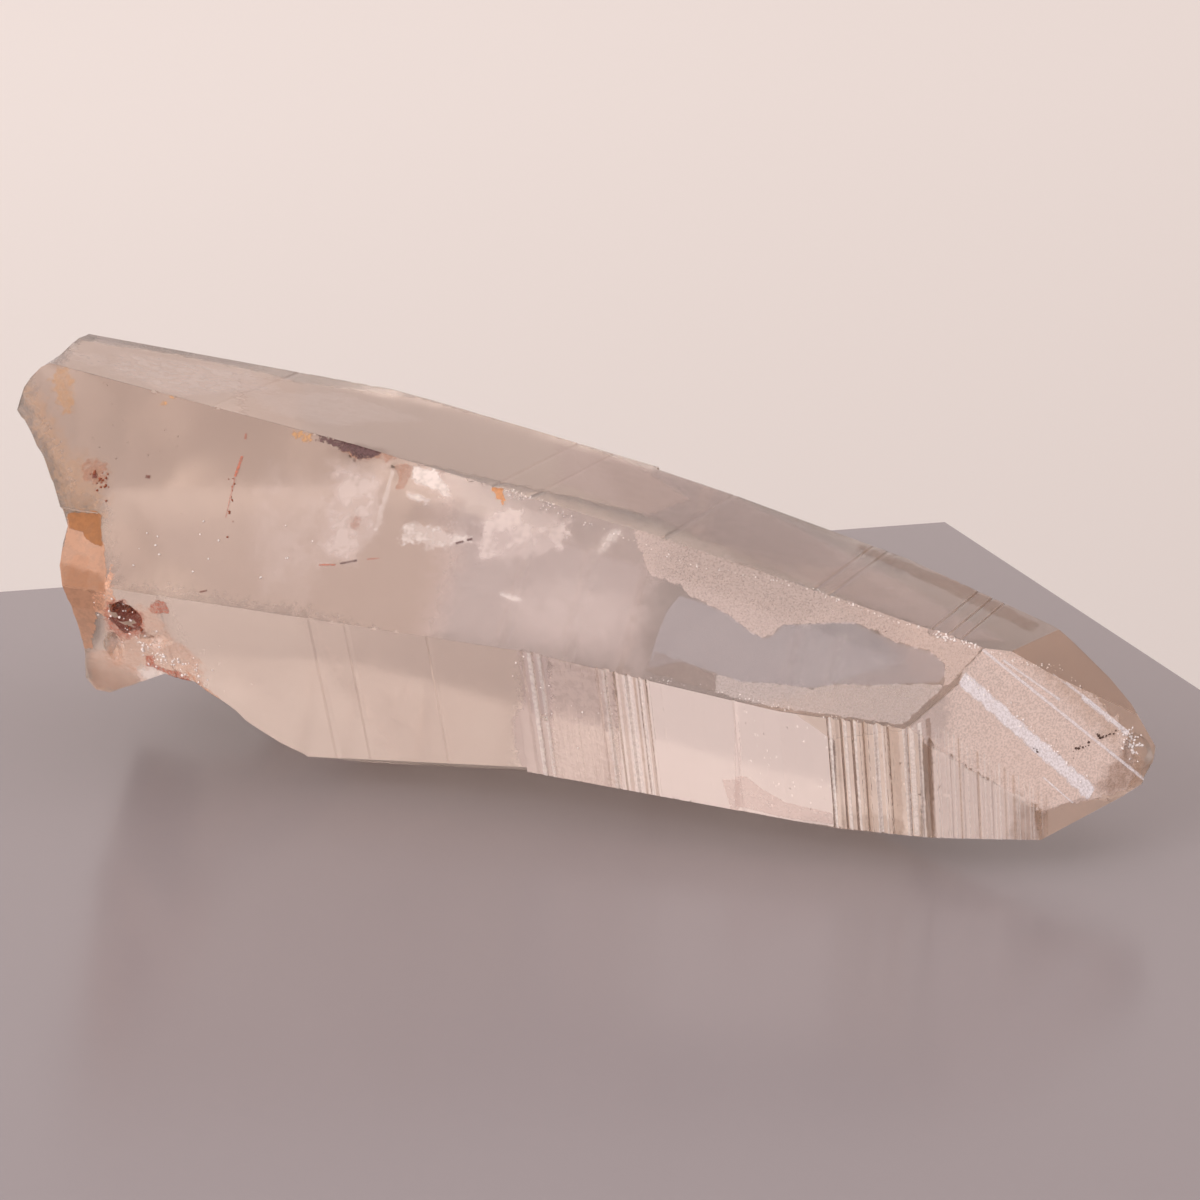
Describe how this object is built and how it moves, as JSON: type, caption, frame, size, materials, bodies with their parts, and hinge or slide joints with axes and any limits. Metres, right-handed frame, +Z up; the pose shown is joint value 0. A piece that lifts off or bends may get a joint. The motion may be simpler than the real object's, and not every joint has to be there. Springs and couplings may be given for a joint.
{
  "type": "quartz crystal point",
  "caption": "Natural quartz crystal lying on one side: tapering faceted point with cross growth lines, stepped tip face, worn edges and a broken iron-stained base",
  "frame": {"origin": "centre of the bounding box in X and Y, on the surface the crystal rests on", "axes": "+X along the crystal toward its tip, +Z up, -Y toward the two broad front faces"},
  "size_m": [0.1188, 0.0456, 0.0412],
  "materials": {
    "quartz": "natural crystal faces, smooth to frosted, faintly peach"
  },
  "bodies": {
    "root": {"quartz_point": "quartz"}
  },
  "joints": []
}
